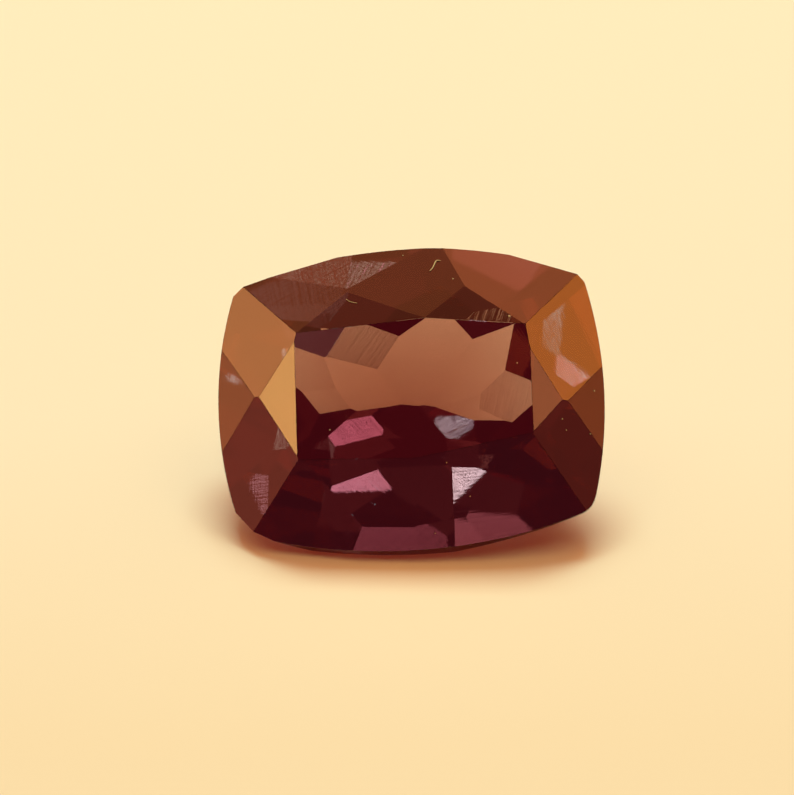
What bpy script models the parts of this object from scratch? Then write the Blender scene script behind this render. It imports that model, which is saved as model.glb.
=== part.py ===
"""Cushion cut alexandrite, about ten by eight millimetres, lying on its pavilion.

One grown crystal, cut and polished by hand, so it is one solid. It is built as a stone is cut: a
preform with the cushion outline first, then one flat cut after another, each one given by the way
it faces, its slope from the girdle plane and its distance from the middle of the stone.

In the cutting sheet the stone sits table up, girdle plane at height zero, lengths in millimetres.
Azimuth runs anticlockwise from the right end, so 90 is the side away from the viewer. The last
step lays the stone down on the broad pavilion facet that faces the viewer.
"""

import bmesh
import bpy
from math import atan2, cos, pi, radians, sin
from mathutils import Matrix, Vector

NAME = "cushion_cut_alexandrite"

MM = 0.001

TABLE_HEIGHT = 1.35
KEEL_DEPTH = 3.75
PREFORM_SPARE = 0.25
CORNER_RADIUS = 0.22
STEPS_PER_SIDE = 30
STEPS_PER_CORNER = 5
SHORTEST_EDGE = 0.003
CUT_TOLERANCE = 0.00001

# Outline seen from above: the four corners, and how far each side bulges beyond its chord.
# The left side is a little longer than the right one.
CORNERS = [(-4.34, 3.39), (4.54, 3.34), (4.57, -3.13), (-4.49, -3.40)]
BULGES = [0.69, 0.46, 0.80, 0.58]

# Crown cuts as (azimuth, slope, distance). Each side has two quads that meet at the corner
# ridges, a star against the table and a triangle at the girdle.
CROWN_QUADS = {
    "left upper": (162.5, 33.0, 2.90),
    "left lower": (193.5, 34.5, 3.00),
    "right upper": (8.5, 35.0, 2.96),
    "right lower": (348.0, 34.5, 2.99),
    "far left": (104.0, 31.0, 2.32),
    "far middle": (90.0, 28.0, 2.067),
    "far right": (76.0, 31.5, 2.338),
    "near left": (254.7, 30.2, 2.432),
    "near middle left": (269.0, 23.5, 1.99),
    "near middle right": (277.0, 23.5, 1.981),
    "near right": (288.0, 28.0, 2.25),
}
CROWN_STARS = {
    "left": (179.0, 19.5, 2.27),
    "right": (359.5, 27.0, 2.62),
    "far left": (94.5, 24.5, 1.985),
    "far right": (84.0, 25.5, 2.036),
    "near left": (268.0, 16.5, 1.83),
    "near right": (280.0, 16.5, 1.821),
}
CROWN_GIRDLE_TRIANGLES = {
    "left": (178.0, 43.0, 3.45),
    "right": (358.5, 40.0, 3.26),
    "far left": (98.5, 36.0, 2.46),
    "near left": (265.0, 31.5, 2.423),
    "near middle": (268.5, 31.0, 2.363),
    "near right": (277.0, 30.5, 2.322),
}

# Pavilion cuts. The mains run from the short keel outwards; the break facets come down from the
# girdle between them and end in points. Two low facets beside the keel trim the mains' tips.
PAVILION_MAINS = {
    "far left": (99.5, 42.5, 3.09),
    "far middle": (80.0, 35.0, 3.04),
    "far right": (26.5, 32.5, 3.16),
    "left upper": (154.5, 35.5, 3.55),
    "left middle": (164.5, 33.0, 3.55),
    "left lower": (206.0, 30.5, 3.44),
    "right upper": (11.5, 35.0, 3.20),
    "right lower": (352.5, 29.0, 3.21),
    "near right": (314.0, 29.0, 3.07),
    "near middle": (264.0, 35.0, 2.73),
    "near left": (259.5, 35.0, 2.76),
}
KEEL_FACETS = {
    "far": (121.5, 27.0, 3.32),
    "right": (14.5, 31.5, 3.19),
}
PAVILION_BREAKS = {
    "far left": (110.5, 49.5, 3.27),
    "far middle": (95.0, 47.0, 3.07),
    "far right": (66.5, 46.0, 3.24),
    "right upper": (18.0, 38.0, 3.26),
    "right lower": (353.0, 41.0, 3.39),
    "right corner": (322.5, 32.5, 3.12),
    "left": (184.0, 43.0, 3.62),
    "near left": (236.0, 40.5, 3.15),
    "near right": (290.0, 40.5, 2.84),
}
# The broad near break facet is the one the stone lies on.
RESTING_FACET = (265.0, 39.0, 2.65)

BODY_COLOUR = (0.33, 0.045, 0.055, 1.0)
BODY_ROUGHNESS = 0.05
REFRACTIVE_INDEX = 1.75


def clear_scene():
    for item in list(bpy.data.objects):
        bpy.data.objects.remove(item, do_unlink=True)


def make_collection(name):
    group = bpy.data.collections.new(name)
    bpy.context.scene.collection.children.link(group)
    return group


def alexandrite_material():
    """Dark red violet crystal with a high polish, see-through."""
    material = bpy.data.materials.new("alexandrite")
    material.use_nodes = True
    shader = material.node_tree.nodes["Principled BSDF"]
    shader.inputs["Base Color"].default_value = BODY_COLOUR
    shader.inputs["Roughness"].default_value = BODY_ROUGHNESS
    shader.inputs["Metallic"].default_value = 0.0
    shader.inputs["IOR"].default_value = REFRACTIVE_INDEX
    shader.inputs["Transmission Weight"].default_value = 1.0
    return material


def side_points(start, end, bulge):
    """Points along a shallow arc from one corner to the next, the far corner left out."""
    start, end = Vector(start), Vector(end)
    chord = end - start
    half = chord.length / 2
    radius = (half * half + bulge * bulge) / (2 * bulge)
    outward = Vector((-chord.y, chord.x)).normalized()
    centre = (start + end) / 2 + outward * (bulge - radius)
    first = atan2(start.y - centre.y, start.x - centre.x)
    last = atan2(end.y - centre.y, end.x - centre.x)
    sweep = (last - first + pi) % (2 * pi) - pi
    points = []
    for step in range(STEPS_PER_SIDE + 1):
        angle = first + sweep * step / STEPS_PER_SIDE
        points.append(Vector((centre.x + radius * cos(angle), centre.y + radius * sin(angle))))
    return points


def round_corner(before, corner, after):
    """A small curve through the corner, between the last and first points kept on each side."""
    points = []
    for step in range(1, STEPS_PER_CORNER):
        t = step / STEPS_PER_CORNER
        points.append(before * (1 - t) ** 2 + corner * 2 * t * (1 - t) + after * t ** 2)
    return points


def outline():
    """The cushion outline, clockwise from the far left corner."""
    sides = []
    for index, corner in enumerate(CORNERS):
        following = CORNERS[(index + 1) % len(CORNERS)]
        sides.append(side_points(corner, following, BULGES[index]))
    points = []
    for index, side in enumerate(sides):
        corner = side[0]
        before = sides[index - 1]
        kept_before = [p for p in before if (p - corner).length >= CORNER_RADIUS]
        kept = [p for p in side if (p - corner).length >= CORNER_RADIUS
                and (p - side[-1]).length >= CORNER_RADIUS]
        points += round_corner(kept_before[-1], corner, kept[0])
        points += kept
    return points


def preform():
    """A straight block with the cushion outline, tall enough for every cut."""
    mesh = bmesh.new()
    bottom = -KEEL_DEPTH - PREFORM_SPARE
    ring = [mesh.verts.new((p.x, p.y, bottom)) for p in outline()]
    base = mesh.faces.new(ring)
    top = bmesh.ops.extrude_face_region(mesh, geom=[base])
    lifted = [item for item in top["geom"] if isinstance(item, bmesh.types.BMVert)]
    height = TABLE_HEIGHT + PREFORM_SPARE - bottom
    bmesh.ops.translate(mesh, verts=lifted, vec=(0.0, 0.0, height))
    bmesh.ops.recalc_face_normals(mesh, faces=mesh.faces)
    return mesh


def facing(azimuth, slope, downwards):
    """Outward direction of a facet."""
    turn, tilt = radians(azimuth), radians(slope)
    up = -cos(tilt) if downwards else cos(tilt)
    return Vector((cos(turn) * sin(tilt), sin(turn) * sin(tilt), up))


def cut(mesh, normal, distance):
    """Grind the stone flat down to one plane and close the new facet."""
    everything = mesh.verts[:] + mesh.edges[:] + mesh.faces[:]
    result = bmesh.ops.bisect_plane(
        mesh, geom=everything, dist=CUT_TOLERANCE, plane_co=normal * distance, plane_no=normal,
        clear_outer=True, clear_inner=False)
    rim = [item for item in result["geom_cut"] if isinstance(item, bmesh.types.BMEdge)]
    rim = [edge for edge in rim if edge.is_boundary]
    if rim:
        bmesh.ops.contextual_create(mesh, geom=rim)


def cut_tier(mesh, tier, downwards):
    for azimuth, slope, distance in tier.values():
        cut(mesh, facing(azimuth, slope, downwards), distance)


def cut_crown(mesh):
    cut(mesh, Vector((0.0, 0.0, 1.0)), TABLE_HEIGHT)
    cut_tier(mesh, CROWN_QUADS, False)
    cut_tier(mesh, CROWN_STARS, False)
    cut_tier(mesh, CROWN_GIRDLE_TRIANGLES, False)


def cut_pavilion(mesh):
    cut_tier(mesh, PAVILION_BREAKS, True)
    cut_tier(mesh, {"resting": RESTING_FACET}, True)
    cut_tier(mesh, PAVILION_MAINS, True)
    cut_tier(mesh, KEEL_FACETS, True)


def close_tiny_gaps(mesh):
    """Facets that meet almost in one point are brought together in that point."""
    bmesh.ops.remove_doubles(mesh, verts=mesh.verts, dist=SHORTEST_EDGE)


def lay_down(mesh):
    """Turn the resting facet flat to the ground and bring the stone to full scale and place."""
    azimuth, slope, _ = RESTING_FACET
    down = facing(azimuth, slope, True)
    turn = down.rotation_difference(Vector((0.0, 0.0, -1.0))).to_matrix().to_4x4()
    bmesh.ops.transform(mesh, matrix=Matrix.Scale(MM, 4) @ turn, verts=mesh.verts)
    low = [min(v.co[axis] for v in mesh.verts) for axis in range(3)]
    high = [max(v.co[axis] for v in mesh.verts) for axis in range(3)]
    shift = Vector((-(low[0] + high[0]) / 2, -(low[1] + high[1]) / 2, -low[2]))
    bmesh.ops.translate(mesh, verts=mesh.verts, vec=shift)


def build_stone(collection):
    mesh = preform()
    cut_crown(mesh)
    cut_pavilion(mesh)
    close_tiny_gaps(mesh)
    lay_down(mesh)
    bmesh.ops.recalc_face_normals(mesh, faces=mesh.faces)
    data = bpy.data.meshes.new("stone")
    mesh.to_mesh(data)
    mesh.free()
    data.materials.append(alexandrite_material())
    stone = bpy.data.objects.new("stone", data)
    collection.objects.link(stone)
    return stone


def main():
    clear_scene()
    build_stone(make_collection(NAME))


main()
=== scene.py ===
"""Looks of the cushion cut alexandrite: the polished crystal, the lint and dust on it, and its stage.

The stone keeps the shape of its solid. Its sharp facet edges get the narrow softened strips that
polishing leaves, and each facet its own direction of polishing lines. Colour comes from light
being absorbed on its way through the crystal, so short paths look orange brown and long ones deep
red violet.
"""

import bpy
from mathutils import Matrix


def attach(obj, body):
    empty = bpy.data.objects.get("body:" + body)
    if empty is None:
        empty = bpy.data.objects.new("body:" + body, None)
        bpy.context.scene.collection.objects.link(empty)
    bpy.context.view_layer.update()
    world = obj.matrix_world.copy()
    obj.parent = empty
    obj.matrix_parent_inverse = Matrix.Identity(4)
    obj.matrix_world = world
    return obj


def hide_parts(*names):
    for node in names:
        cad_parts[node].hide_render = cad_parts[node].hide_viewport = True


bl_info = {
    "name": "Cushion cut alexandrite",
    "version": (1, 0, 0),
    "blender": (4, 5, 0),
    "location": "3D View > Sidebar > Alexandrite",
    "description": "Builds the looks of a loose faceted stone on pale paper",
    "category": "Object",
}

from math import cos, pi, radians, sin, tan

import bmesh
import bpy
from bpy.props import FloatProperty, FloatVectorProperty, PointerProperty
from mathutils import Matrix, Vector, noise
from mathutils.bvhtree import BVHTree

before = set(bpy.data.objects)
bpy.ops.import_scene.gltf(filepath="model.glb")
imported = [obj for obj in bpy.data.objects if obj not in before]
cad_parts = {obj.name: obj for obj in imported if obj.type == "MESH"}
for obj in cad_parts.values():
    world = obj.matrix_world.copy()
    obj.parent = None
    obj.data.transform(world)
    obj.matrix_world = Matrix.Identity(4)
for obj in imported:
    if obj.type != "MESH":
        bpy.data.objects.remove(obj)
bpy.context.view_layer.update()

MM = 0.001
BODY = "root"
STONE_NODE = "stone"

# How the stone lies: the middle of its girdle, and the azimuth and slope of its resting facet.
GIRDLE_CENTRE = Vector((-0.013, 0.028, 2.65)) * MM
RESTING_AZIMUTH = radians(265.0)
RESTING_SLOPE = radians(39.0)

# How the photograph sees it: the camera leans off the table's normal, and the stone is turned a
# little in the picture and stands a little right of and below the middle.
CAMERA_LEAN = radians(15.0)
PICTURE_TURN = radians(2.6)
PICTURE_PIXELS = 795
PIXELS_PER_MM = 38.6
CENTRE_PIXEL = (397.0, 397.5)
GIRDLE_CENTRE_PIXEL = (411.0, 401.5)
CAMERA_DISTANCE = 0.7
SENSOR_WIDTH = 36.0


def turned_down():
    """Rotation from the cutting sheet, table up, to the way the stone lies."""
    down = Vector((
        cos(RESTING_AZIMUTH) * sin(RESTING_SLOPE),
        sin(RESTING_AZIMUTH) * sin(RESTING_SLOPE),
        -cos(RESTING_SLOPE)))
    return down.rotation_difference(Vector((0.0, 0.0, -1.0))).to_matrix()


def picture_axes():
    """Right, up and towards the camera, in the row frame."""
    lie = turned_down() @ Matrix.Rotation(-PICTURE_TURN, 3, "Z")
    right = lie @ Vector((1.0, 0.0, 0.0))
    up = lie @ Vector((0.0, cos(CAMERA_LEAN), sin(CAMERA_LEAN)))
    back = lie @ Vector((0.0, -sin(CAMERA_LEAN), cos(CAMERA_LEAN)))
    return right, up, back


def picture_point(pixel):
    """The point at the girdle centre's depth that the photograph shows at a pixel."""
    right, up, _ = picture_axes()
    across = (pixel[0] - GIRDLE_CENTRE_PIXEL[0]) / PIXELS_PER_MM * MM
    down = (pixel[1] - GIRDLE_CENTRE_PIXEL[1]) / PIXELS_PER_MM * MM
    return GIRDLE_CENTRE + right * across - up * down


class CrystalSettings(bpy.types.PropertyGroup):
    edge_width: FloatProperty(
        name="Edge width", description="Width of the softened strip along each facet edge",
        default=0.018 * MM, min=0.0, precision=6, unit="LENGTH")
    edge_angle: FloatProperty(
        name="Edge angle", description="Facets that meet at more than this angle get a strip",
        default=radians(6.0), subtype="ANGLE")
    refractive_index: FloatProperty(
        name="Refractive index", description="Refractive index of the crystal", default=1.75)
    absorption: FloatVectorProperty(
        name="Absorption", description="Light lost per millimetre in red, green and blue",
        default=(0.24, 0.43, 0.51), size=3)
    shadow_colour: FloatVectorProperty(
        name="Shadow colour", description="Share of light that one surface lets into the shadow",
        default=(0.72, 0.28, 0.06), size=3)
    polish_depth: FloatProperty(
        name="Polish depth", description="Strength of the polishing lines", default=0.12)


class DustSettings(bpy.types.PropertyGroup):
    fibre_width: FloatProperty(
        name="Fibre width", description="Thickness of the lint fibre",
        default=0.03 * MM, precision=6, unit="LENGTH")
    speck_size: FloatProperty(
        name="Speck size", description="Width of a middling dust speck",
        default=0.04 * MM, precision=6, unit="LENGTH")
    fibre_colour: FloatVectorProperty(
        name="Fibre colour", description="Colour of the lint", subtype="COLOR",
        default=(0.85, 0.62, 0.22), size=3)


class StageSettings(bpy.types.PropertyGroup):
    paper_colour: FloatVectorProperty(
        name="Paper colour", description="Colour of the paper at the far side", subtype="COLOR",
        default=(0.93, 0.78, 0.455), size=3)
    # Painted shade: the near colour is the paper darkened where less light falls on it.
    paper_colour_painted_shade: FloatVectorProperty(
        name="Near paper painted shade", description="Paper colour towards the viewer, darkened as painted shade",
        subtype="COLOR", default=(0.93, 0.735, 0.388), size=3)
    paper_size: FloatProperty(
        name="Paper size", description="Side of the sheet", default=1.6, unit="LENGTH")
    light_level: FloatProperty(
        name="Light level", description="Strength of the lights on the paper", default=1.0)


def link_nodes(tree, *pairs):
    for source, target in pairs:
        tree.links.new(source, target)


def add_node(tree, kind, **inputs):
    """A node with its unlinked inputs set, names written with _ for a space."""
    node = tree.nodes.new(kind)
    for name, value in inputs.items():
        node.inputs[name.replace("_", " ")].default_value = value
    return node


def new_material(name):
    material = bpy.data.materials.new(name)
    material.use_nodes = True
    material.node_tree.nodes.clear()
    return material


def collection(name):
    group = bpy.data.collections.get(name)
    if group is None:
        group = bpy.data.collections.new(name)
        bpy.context.scene.collection.children.link(group)
    return group


def mesh_object(name, mesh, group, material):
    data = bpy.data.meshes.new(name)
    mesh.to_mesh(data)
    mesh.free()
    data.materials.append(material)
    thing = bpy.data.objects.new(name, data)
    collection(group).objects.link(thing)
    return thing


POLISH_GROUP = "polishing lines"
POLISH_MAP = "polish"
POLISH_SHARE = "polish_share"
# The crown took a finer polish than the pavilion, with lines this much shallower.
CROWN_SHARE = 0.3
# How closely the polishing lines lie, how far they are drawn out, and how broad their bands are.
LINE_DENSITY = 12.0
LINE_STRETCH = (0.035, 1.0, 1.0)
BAND_DENSITY = 6.0
LINE_HEIGHT = 0.01 * MM


def polishing_lines():
    """Fine parallel lines along V of a facet's own map, heavier in some bands than in others."""
    group = bpy.data.node_groups.get(POLISH_GROUP)
    if group:
        return group
    group = bpy.data.node_groups.new(POLISH_GROUP, "ShaderNodeTree")
    sockets = group.interface
    sockets.new_socket("Map", in_out="INPUT", socket_type="NodeSocketVector")
    lines = sockets.new_socket("Lines", in_out="INPUT", socket_type="NodeSocketFloat")
    lines.default_value = LINE_DENSITY
    sockets.new_socket("Height", in_out="OUTPUT", socket_type="NodeSocketFloat")
    into = group.nodes.new("NodeGroupInput")
    out = group.nodes.new("NodeGroupOutput")
    stretch = group.nodes.new("ShaderNodeMapping")
    stretch.inputs["Scale"].default_value = LINE_STRETCH
    fine = add_node(group, "ShaderNodeTexNoise", Detail=3.0, Roughness=0.6)
    broad = add_node(group, "ShaderNodeTexNoise", Scale=BAND_DENSITY, Detail=1.0)
    weigh = group.nodes.new("ShaderNodeMath")
    weigh.operation = "MULTIPLY"
    link_nodes(
        group,
        (into.outputs["Map"], stretch.inputs["Vector"]),
        (stretch.outputs["Vector"], fine.inputs["Vector"]),
        (into.outputs["Lines"], fine.inputs["Scale"]),
        (stretch.outputs["Vector"], broad.inputs["Vector"]),
        (fine.outputs["Fac"], weigh.inputs[0]),
        (broad.outputs["Fac"], weigh.inputs[1]),
        (weigh.outputs["Value"], out.inputs["Height"]))
    return group


def crystal_material(settings):
    """Clear red violet crystal: plain transmission, with the colour taken up along the way."""
    material = new_material("alexandrite")
    tree = material.node_tree
    glass = add_node(
        tree, "ShaderNodeBsdfPrincipled", Base_Color=(1.0, 1.0, 1.0, 1.0), Roughness=0.0,
        IOR=settings.refractive_index, Transmission_Weight=1.0)
    uv = tree.nodes.new("ShaderNodeUVMap")
    uv.uv_map = POLISH_MAP
    lines = tree.nodes.new("ShaderNodeGroup")
    lines.node_tree = polishing_lines()
    share = tree.nodes.new("ShaderNodeAttribute")
    share.attribute_name = POLISH_SHARE
    depth = tree.nodes.new("ShaderNodeMath")
    depth.operation = "MULTIPLY"
    depth.inputs[1].default_value = settings.polish_depth
    bump = add_node(tree, "ShaderNodeBump", Distance=LINE_HEIGHT)
    strongest = max(settings.absorption)
    colour = [1.0 - part / strongest for part in settings.absorption]
    body = add_node(
        tree, "ShaderNodeVolumeAbsorption", Color=(*colour, 1.0), Density=strongest / MM)
    path = tree.nodes.new("ShaderNodeLightPath")
    clear = add_node(tree, "ShaderNodeBsdfTransparent", Color=(*settings.shadow_colour, 1.0))
    mix = tree.nodes.new("ShaderNodeMixShader")
    out = tree.nodes.new("ShaderNodeOutputMaterial")
    link_nodes(
        tree,
        (uv.outputs["UV"], lines.inputs["Map"]),
        (lines.outputs["Height"], bump.inputs["Height"]),
        (share.outputs["Fac"], depth.inputs[0]),
        (depth.outputs["Value"], bump.inputs["Strength"]),
        (bump.outputs["Normal"], glass.inputs["Normal"]),
        (path.outputs["Is Shadow Ray"], mix.inputs["Fac"]),
        (glass.outputs["BSDF"], mix.inputs[1]),
        (clear.outputs["BSDF"], mix.inputs[2]),
        (mix.outputs["Shader"], out.inputs["Surface"]),
        (body.outputs["Volume"], out.inputs["Volume"]))
    return material


WELD_DISTANCE = 0.0002 * MM
FLAT_ANGLE = radians(0.3)
CUT_TOLERANCE = 1e-6 * MM
GIRDLE_TILT = 0.06
POLISH_SEED = 7
MAP_SPREAD = 50.0


def facet_mesh(node):
    """The solid's mesh with its doubled corners joined and each facet one face."""
    mesh = bmesh.new()
    mesh.from_mesh(node.data)
    mesh.transform(node.matrix_world)
    bmesh.ops.remove_doubles(mesh, verts=mesh.verts, dist=WELD_DISTANCE)
    bmesh.ops.dissolve_limit(
        mesh, angle_limit=FLAT_ANGLE, verts=mesh.verts, edges=mesh.edges,
        use_dissolve_boundaries=False)
    bmesh.ops.recalc_face_normals(mesh, faces=mesh.faces)
    return mesh


def grind(mesh, point, normal):
    """Take off what stands beyond a plane and close the new strip."""
    everything = mesh.verts[:] + mesh.edges[:] + mesh.faces[:]
    result = bmesh.ops.bisect_plane(
        mesh, geom=everything, dist=CUT_TOLERANCE, plane_co=point, plane_no=normal,
        clear_outer=True, clear_inner=False)
    rim = [item for item in result["geom_cut"] if isinstance(item, bmesh.types.BMEdge)]
    rim = [edge for edge in rim if edge.is_boundary]
    if rim:
        bmesh.ops.contextual_create(mesh, geom=rim)


def soften_edges(mesh, width, angle):
    """A narrow strip along every facet edge, so that the edges catch light.

    A plane that would take off more than its own edge, as it can beside a sliver, is left out.
    """
    corners = [vert.co.copy() for vert in mesh.verts]
    cuts = []
    for edge in mesh.edges:
        if len(edge.link_faces) != 2:
            continue
        first, second = (face.normal for face in edge.link_faces)
        meeting = first.angle(second)
        if meeting < angle:
            continue
        normal = (first + second).normalized()
        depth = width / 2 * tan(meeting / 2) * 0.5
        point = edge.verts[0].co - normal * depth
        if max((corner - point).dot(normal) for corner in corners) < 2 * depth:
            cuts.append((point, normal))
    for point, normal in cuts:
        grind(mesh, point, normal)


def map_facets(mesh, table_normal):
    """Each facet gets a flat map of its own, turned to the way it was polished."""
    layer = mesh.loops.layers.uv.new(POLISH_MAP)
    share = mesh.faces.layers.float.new(POLISH_SHARE)
    for face in mesh.faces:
        face.smooth = False
        along = face.normal.cross(table_normal)
        if along.length < GIRDLE_TILT:
            along = face.normal.cross(Vector((1.0, 0.0, 0.0)))
        along.normalize()
        face[share] = CROWN_SHARE if face.normal.dot(table_normal) > GIRDLE_TILT else 1.0
        turn = Matrix.Rotation(noise.random() * pi, 3, face.normal)
        along = turn @ along
        across = face.normal.cross(along)
        shift = Vector((noise.random(), noise.random())) * MAP_SPREAD
        for loop in face.loops:
            place = loop.vert.co / MM
            loop[layer].uv = Vector((place.dot(along), place.dot(across))) + shift


def build_stone(settings):
    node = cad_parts[STONE_NODE]
    mesh = facet_mesh(node)
    table = max(mesh.faces, key=lambda face: face.calc_area())
    table_normal = table.normal.copy()
    soften_edges(mesh, settings.edge_width, settings.edge_angle)
    noise.seed_set(POLISH_SEED)
    map_facets(mesh, table_normal)
    stone = mesh_object("polished_stone", mesh, "crystal", crystal_material(settings))
    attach(stone, BODY)
    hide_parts(STONE_NODE)
    return stone


# Lint and dust, at the pixels where the photograph shows them.
FIBRE_PIXELS = [(429.5, 271.5), (432.5, 268.5), (434.5, 264.5), (436.5, 261.0), (441.0, 261.2)]
HAIR_PIXELS = [(346.0, 299.5), (350.5, 302.0), (357.5, 303.3)]
# Pixel and size beside a middling speck.
SPECK_PIXELS = [
    (330.0, 430.0, 0.9), (517.0, 363.0, 0.8), (509.0, 316.5, 1.2), (453.0, 279.0, 0.9),
    (590.0, 434.0, 0.8), (594.0, 391.0, 0.9), (566.0, 430.0, 0.7), (562.0, 419.0, 0.8),
    (470.0, 496.0, 0.6), (446.5, 462.5, 0.6), (435.0, 533.0, 0.6), (403.0, 255.5, 0.7),
]
# The hair is this much thinner than the fibre. All of it lies just clear of the facets.
HAIR_SHARE = 0.5
LIFT = 0.004 * MM
STEPS_PER_SPAN = 8
FIBRE_SIDES = 8
FIBRE_TIP = 0.35
SPECK_ROUGHNESS = 0.35
SPECK_FLATNESS = 0.5
MOTTLE_DENSITY = 30 / MM
MOTTLE_SHADE = 0.75
CLEAR_OF_STONE = 20 * MM


def surface_finder(stone):
    mesh = bmesh.new()
    mesh.from_mesh(stone.data)
    tree = BVHTree.FromBMesh(mesh)
    mesh.free()
    _, _, back = picture_axes()

    def find(pixel):
        place, normal, _, _ = tree.ray_cast(picture_point(pixel) + back * CLEAR_OF_STONE, -back)
        if place is None:
            raise RuntimeError(f"nothing of the stone is at pixel {pixel}")
        return place, normal
    return find


def lint_material(settings):
    material = new_material("lint")
    tree = material.node_tree
    coat = add_node(
        tree, "ShaderNodeBsdfPrincipled", Roughness=0.7, Base_Color=(*settings.fibre_colour, 1.0))
    where = tree.nodes.new("ShaderNodeTexCoord")
    mottle = add_node(tree, "ShaderNodeTexNoise", Scale=MOTTLE_DENSITY, Detail=2.0)
    ramp = tree.nodes.new("ShaderNodeValToRGB")
    shade = [part * MOTTLE_SHADE for part in settings.fibre_colour]
    ramp.color_ramp.elements[0].color = (*shade, 1.0)
    ramp.color_ramp.elements[1].color = (*settings.fibre_colour, 1.0)
    out = tree.nodes.new("ShaderNodeOutputMaterial")
    link_nodes(
        tree,
        (where.outputs["Object"], mottle.inputs["Vector"]),
        (mottle.outputs["Fac"], ramp.inputs["Fac"]),
        (ramp.outputs["Color"], coat.inputs["Base Color"]),
        (coat.outputs["BSDF"], out.inputs["Surface"]))
    return material


def smooth_path(points, steps):
    """A smooth curve through points, by the usual four point rule."""
    ends = [points[0] * 2 - points[1]] + points + [points[-1] * 2 - points[-2]]
    path = []
    for index in range(1, len(ends) - 2):
        a, b, c, d = ends[index - 1:index + 3]
        for step in range(steps):
            t = step / steps
            path.append(0.5 * (
                2 * b + (c - a) * t + (2 * a - 5 * b + 4 * c - d) * t * t
                + (3 * b - a - 3 * c + d) * t ** 3))
    return path + [points[-1]]


def thread(mesh, path, width, lift_normal):
    """A round thread along a path, thinner at both ends."""
    rings = []
    for index, place in enumerate(path):
        before, after = path[max(index - 1, 0)], path[min(index + 1, len(path) - 1)]
        along = (after - before).normalized()
        side = along.cross(lift_normal).normalized()
        top = side.cross(along)
        t = index / (len(path) - 1)
        radius = width / 2 * (FIBRE_TIP + (1 - FIBRE_TIP) * (1 - abs(2 * t - 1) ** 3))
        ring = []
        for step in range(FIBRE_SIDES):
            turn = 2 * pi * step / FIBRE_SIDES
            ring.append(mesh.verts.new(place + side * cos(turn) * radius + top * sin(turn) * radius))
        rings.append(ring)
    for ring, following in zip(rings, rings[1:]):
        for step in range(FIBRE_SIDES):
            after = (step + 1) % FIBRE_SIDES
            mesh.faces.new((ring[step], ring[after], following[after], following[step]))
    mesh.faces.new(rings[0])
    mesh.faces.new(reversed(rings[-1]))


def build_thread(name, pixels, width, find, material):
    found = [find(pixel) for pixel in pixels]
    normal = found[0][1]
    lift = width / 2 + LIFT
    points = [place + facing * lift for place, facing in found]
    mesh = bmesh.new()
    thread(mesh, smooth_path(points, STEPS_PER_SPAN), width, normal)
    bmesh.ops.recalc_face_normals(mesh, faces=mesh.faces)
    fibre = mesh_object(name, mesh, "lint and dust", material)
    fibre.data.polygons.foreach_set("use_smooth", [True] * len(fibre.data.polygons))
    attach(fibre, BODY)
    return fibre


def build_specks(find, size, material):
    """Small rough flakes of dust."""
    mesh = bmesh.new()
    for x, y, scale in SPECK_PIXELS:
        place, normal = find((x, y))
        width = size * scale
        made = bmesh.ops.create_icosphere(mesh, subdivisions=2, radius=width / 2)
        turn = Vector((0.0, 0.0, 1.0)).rotation_difference(normal).to_matrix()
        for vert in made["verts"]:
            bumps = noise.noise(vert.co / width * 3.0 + Vector((x, y, 0.0)))
            local = vert.co * (1.0 + SPECK_ROUGHNESS * bumps)
            local.z *= SPECK_FLATNESS
            vert.co = place + turn @ local + normal * (width / 2 * SPECK_FLATNESS + LIFT)
    specks = mesh_object("dust_specks", mesh, "lint and dust", material)
    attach(specks, BODY)
    return specks


# The far and near ends of the paper's painted shade, which darkens it towards the viewer where less
# light falls, and how far it lies under the stone.
PAPER_SHADE_FAR = 3.0 * MM
PAPER_SHADE_NEAR = -11.0 * MM
PAPER_DROP = 0.002 * MM


def paper_material(settings):
    """Pale yellow paper with painted shade: deeper in colour towards the viewer, where less light
    falls.
    """
    material = new_material("pale paper")
    tree = material.node_tree
    sheet = add_node(tree, "ShaderNodeBsdfPrincipled", Roughness=0.8, Specular_IOR_Level=0.1)
    where = tree.nodes.new("ShaderNodeTexCoord")
    split = tree.nodes.new("ShaderNodeSeparateXYZ")
    span = add_node(tree, "ShaderNodeMapRange", From_Min=PAPER_SHADE_NEAR, From_Max=PAPER_SHADE_FAR)
    # Painted shade: the colour runs from the darker near colour to the far colour across the paper.
    painted_shade_blend = tree.nodes.new("ShaderNodeMix")
    painted_shade_blend.data_type = "RGBA"
    painted_shade_blend.inputs["A"].default_value = (*settings.paper_colour_painted_shade, 1.0)
    painted_shade_blend.inputs["B"].default_value = (*settings.paper_colour, 1.0)
    out = tree.nodes.new("ShaderNodeOutputMaterial")
    link_nodes(
        tree,
        (where.outputs["Object"], split.inputs["Vector"]),
        (split.outputs["Y"], span.inputs["Value"]),
        (span.outputs["Result"], painted_shade_blend.inputs["Factor"]),
        (painted_shade_blend.outputs["Result"], sheet.inputs["Base Color"]),
        (sheet.outputs["BSDF"], out.inputs["Surface"]))
    return material


def build_paper(settings):
    mesh = bmesh.new()
    bmesh.ops.create_grid(mesh, x_segments=1, y_segments=1, size=settings.paper_size / 2)
    paper = mesh_object("paper", mesh, "stage", paper_material(settings))
    paper.location.z = -PAPER_DROP
    return paper


LAMP_DISTANCE = 0.5

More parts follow.
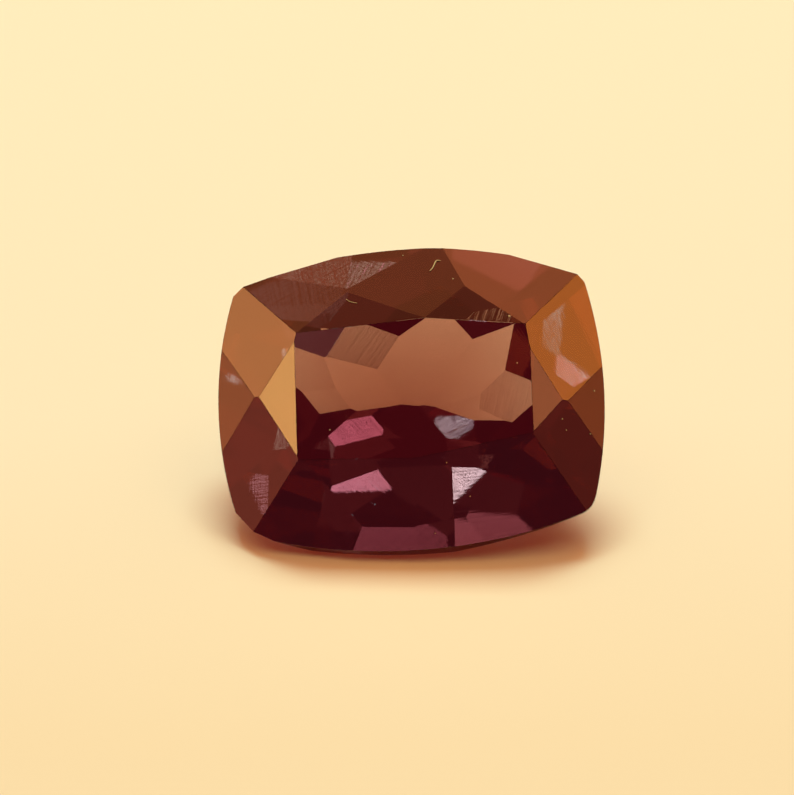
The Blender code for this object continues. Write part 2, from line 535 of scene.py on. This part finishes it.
# Lights as azimuth, elevation, width and height in degrees as seen from the stone, and radiance.
# The cards stand where the flat crown facets mirror them.
CARDS = {
    "upper left card": (166.0, 32.0, 9.0, 9.0, (4.9, 1.75, 0.57)),
    "low left card": (168.0, 11.0, 8.0, 8.0, (2.8, 0.78, 0.28)),
    "left corner card": (193.0, 17.0, 8.0, 8.0, (1.6, 0.3, 0.17)),
    "gold card": (201.0, 46.0, 8.0, 8.0, (8.2, 3.8, 1.15)),
    "upper right card": (7.0, 31.0, 9.0, 9.0, (4.3, 1.15, 0.2)),
    "right corner card": (347.0, 40.0, 8.0, 8.0, (3.2, 0.95, 0.35)),
    "low right card": (4.0, 19.0, 8.0, 8.0, (1.9, 0.41, 0.12)),
    "far card": (96.0, 50.0, 30.0, 20.0, (1.2, 0.29, 0.09)),
    "far high card": (93.0, 64.0, 20.0, 7.0, (0.7, 0.14, 0.05)),
    "far right card": (76.0, 51.0, 8.0, 6.0, (1.3, 0.34, 0.12)),
    "near right card": (347.0, 23.0, 8.0, 8.0, (0.8, 0.1, 0.06)),
    "near card": (270.0, 18.0, 44.0, 36.0, (0.38, 0.02, 0.04)),
    "table card": (263.0, 66.0, 12.0, 10.0, (0.5, 0.01, 0.03)),
}
# The lamps are seen through the crystal after its inner reflections.
LAMPS = {
    "pink table lamp": (315.8, 54.9, 3.0, 3.0, (4.3, 6.0, 19.0)),
    "pink lower lamp": (302.1, 47.8, 1.8, 3.0, (6.2, 14.0, 43.0)),
    "low streak lamp": (213.2, 36.9, 2.0, 2.0, (12.0, 62.0, 152.0)),
    "middle streak lamp": (230.9, 27.5, 1.2, 1.2, (7.2, 42.0, 106.0)),
    "low left lamp": (214.9, 2.6, 3.0, 3.0, (1.4, 3.0, 5.6)),
    "right crown lamp": (304.2, 47.8, 1.2, 1.8, (2.9, 65.0, 168.0)),
    "right crown side lamp": (295.2, 31.4, 1.4, 1.4, (1.4, 34.0, 83.0)),
    "left crown lamp": (295.0, 15.5, 3.0, 2.0, (5.1, 52.0, 131.0)),
    "left corner lamp": (321.1, 13.2, 1.6, 1.6, (3.5, 17.0, 51.0)),
    "left middle lamp": (309.0, 28.0, 1.2, 1.2, (2.8, 25.0, 53.0)),
    "far gray lamp": (336.6, 42.4, 1.0, 1.0, (1.7, 12.0, 21.0)),
    "far small lamp": (298.8, 49.4, 1.4, 1.4, (1.9, 10.0, 18.0)),
    "blue lamp": (331.0, 24.0, 8.0, 28.0, (0.51, 2.1, 4.2)),
    "pink glow lamp": (193.6, 51.5, 4.0, 4.0, (0.58, 1.2, 2.2)),
    "near triangle lamp": (64.0, 71.0, 20.0, 14.0, (1.0, 0.78, 1.8)),
    "right triangle lamp": (138.0, 56.5, 20.0, 12.0, (0.72, 0.59, 1.3)),
    "left wall": (215.0, 40.0, 50.0, 50.0, (0.17, 0.18, 0.32)),
    "right wall": (320.0, 35.0, 50.0, 60.0, (0.26, 0.23, 0.42)),
    "low left wall": (180.0, 15.0, 40.0, 28.0, (0.52, 0.1, 0.14)),
    "low right wall": (0.0, 15.0, 40.0, 28.0, (0.32, 0.039, 0.096)),
    "upper left wall": (165.0, 55.0, 50.0, 30.0, (0.42, 0.39, 0.72)),
    "upper right wall": (10.0, 55.0, 50.0, 30.0, (0.65, 0.55, 0.8)),
}
# These two light the paper: a wide one above, and one from behind that lays the shadow in front.
ROOM_LIGHTS = {
    "overhead": (85.0, 72.0, 96.0, 80.0, (0.66, 0.6, 0.44)),
    "back light": (90.0, 53.0, 30.0, 16.0, (19.0, 20.0, 22.6)),
}

# Size and radiance of the light that comes down through the crystal.
GLOW_SIZE = (9.0 * MM, 7.0 * MM)
GLOW = (0.8, 0.34, 0.02)


def lamp(name, place):
    """A soft box seen from the stone at an azimuth and elevation, its sizes in degrees."""
    azimuth, elevation, width, height, radiance = place
    turn, lift = radians(azimuth), radians(elevation)
    towards = Vector((cos(turn) * cos(lift), sin(turn) * cos(lift), sin(lift)))
    data = bpy.data.lights.new(name, "AREA")
    data.shape = "RECTANGLE"
    data.size = 2 * LAMP_DISTANCE * tan(radians(width) / 2)
    data.size_y = 2 * LAMP_DISTANCE * tan(radians(height) / 2)
    strongest = max(radiance)
    data.energy = strongest * pi * data.size * data.size_y
    data.color = [part / strongest for part in radiance]
    box = bpy.data.objects.new(name, data)
    box.location = GIRDLE_CENTRE + towards * LAMP_DISTANCE
    box.rotation_mode = "QUATERNION"
    box.rotation_quaternion = towards.to_track_quat("Z", "Y")
    box.visible_camera = False
    collection("stage").objects.link(box)
    return box


def build_glow():
    """The warm light that the stone throws on the paper around it."""
    data = bpy.data.lights.new("warm glow", "AREA")
    data.shape = "ELLIPSE"
    data.size, data.size_y = GLOW_SIZE
    data.energy = max(GLOW) * pi * pi / 4 * data.size * data.size_y
    data.color = [part / max(GLOW) for part in GLOW]
    glow = bpy.data.objects.new("warm glow", data)
    glow.location = GIRDLE_CENTRE
    glow.visible_camera = glow.visible_glossy = glow.visible_transmission = False
    collection("stage").objects.link(glow)


def build_lamps(settings):
    for name, place in CARDS.items():
        card = lamp(name, place)
        card.visible_diffuse = card.visible_transmission = False
    for name, place in LAMPS.items():
        box = lamp(name, place)
        box.visible_diffuse = box.visible_glossy = False
    for name, place in ROOM_LIGHTS.items():
        box = lamp(name, place)
        box.data.energy *= settings.light_level
        box.visible_glossy = box.visible_transmission = False


DIM_ROOM = (0.08, 0.02, 0.025, 1.0)
PALE_BACKDROP = (1.0, 0.84, 0.49, 1.0)


def build_room():
    """A pale backdrop to look at, and a dim room for the stone to reflect."""
    world = bpy.data.worlds.new("room")
    world.use_nodes = True
    tree = world.node_tree
    tree.nodes.clear()
    dim = add_node(tree, "ShaderNodeBackground", Color=DIM_ROOM)
    pale = add_node(tree, "ShaderNodeBackground", Color=PALE_BACKDROP)
    path = tree.nodes.new("ShaderNodeLightPath")
    mix = tree.nodes.new("ShaderNodeMixShader")
    out = tree.nodes.new("ShaderNodeOutputWorld")
    link_nodes(
        tree,
        (path.outputs["Is Camera Ray"], mix.inputs["Fac"]),
        (dim.outputs["Background"], mix.inputs[1]),
        (pale.outputs["Background"], mix.inputs[2]),
        (mix.outputs["Shader"], out.inputs["Surface"]))
    bpy.context.scene.world = world


def build_camera():
    right, up, back = picture_axes()
    data = bpy.data.cameras.new("camera")
    data.sensor_width = SENSOR_WIDTH
    picture_height = PICTURE_PIXELS / PIXELS_PER_MM * MM
    data.lens = SENSOR_WIDTH * CAMERA_DISTANCE / picture_height
    data.clip_start, data.clip_end = 0.01, 10.0
    camera = bpy.data.objects.new("camera", data)
    aim = picture_point(CENTRE_PIXEL)
    turn = Matrix((right, up, back)).transposed().to_4x4()
    camera.matrix_world = Matrix.Translation(aim + back * CAMERA_DISTANCE) @ turn
    collection("stage").objects.link(camera)
    bpy.context.scene.camera = camera


def set_light_paths():
    scene = bpy.context.scene
    scene.view_settings.view_transform = "Standard"
    scene.cycles.max_bounces = 24
    scene.cycles.transmission_bounces = 24
    scene.cycles.glossy_bounces = 8
    scene.cycles.transparent_max_bounces = 16


class ALEXANDRITE_OT_stone(bpy.types.Operator):
    """Build the polished crystal from its solid"""
    bl_idname = "alexandrite.stone"
    bl_label = "Stone"

    def execute(self, context):
        build_stone(context.scene.alexandrite_crystal)
        return {"FINISHED"}


class ALEXANDRITE_OT_dust(bpy.types.Operator):
    """Lay the lint fibre and the dust specks on the crystal"""
    bl_idname = "alexandrite.dust"
    bl_label = "Lint and dust"

    def execute(self, context):
        settings = context.scene.alexandrite_dust
        find = surface_finder(bpy.data.objects["polished_stone"])
        material = lint_material(settings)
        build_thread("lint_fibre", FIBRE_PIXELS, settings.fibre_width, find, material)
        build_thread("lint_hair", HAIR_PIXELS, settings.fibre_width * HAIR_SHARE, find, material)
        build_specks(find, settings.speck_size, material)
        return {"FINISHED"}


class ALEXANDRITE_OT_stage(bpy.types.Operator):
    """Set up the paper, the lights, the room and the camera"""
    bl_idname = "alexandrite.stage"
    bl_label = "Stage"

    def execute(self, context):
        settings = context.scene.alexandrite_stage
        build_paper(settings)
        build_lamps(settings)
        build_glow()
        build_room()
        build_camera()
        set_light_paths()
        return {"FINISHED"}


class ALEXANDRITE_PT_panel(bpy.types.Panel):
    bl_idname = "ALEXANDRITE_PT_panel"
    bl_label = "Alexandrite"
    bl_space_type = "VIEW_3D"
    bl_region_type = "UI"
    bl_category = "Alexandrite"

    def draw(self, context):
        scene = context.scene
        for settings, operator in (
                (scene.alexandrite_crystal, ALEXANDRITE_OT_stone),
                (scene.alexandrite_dust, ALEXANDRITE_OT_dust),
                (scene.alexandrite_stage, ALEXANDRITE_OT_stage)):
            box = self.layout.box()
            for name in settings.__annotations__:
                box.prop(settings, name)
            box.operator(operator.bl_idname)


CLASSES = (
    CrystalSettings, DustSettings, StageSettings, ALEXANDRITE_OT_stone, ALEXANDRITE_OT_dust,
    ALEXANDRITE_OT_stage, ALEXANDRITE_PT_panel)


def register():
    for kind in CLASSES:
        bpy.utils.register_class(kind)
    bpy.types.Scene.alexandrite_crystal = PointerProperty(type=CrystalSettings)
    bpy.types.Scene.alexandrite_dust = PointerProperty(type=DustSettings)
    bpy.types.Scene.alexandrite_stage = PointerProperty(type=StageSettings)


def unregister():
    del bpy.types.Scene.alexandrite_stage
    del bpy.types.Scene.alexandrite_dust
    del bpy.types.Scene.alexandrite_crystal
    for kind in reversed(CLASSES):
        bpy.utils.unregister_class(kind)


def write_size():
    bpy.context.view_layer.update()


def main():
    register()
    bpy.ops.alexandrite.stone()
    bpy.ops.alexandrite.dust()
    bpy.ops.alexandrite.stage()
    write_size()


if __name__ == "__main__":
    main()
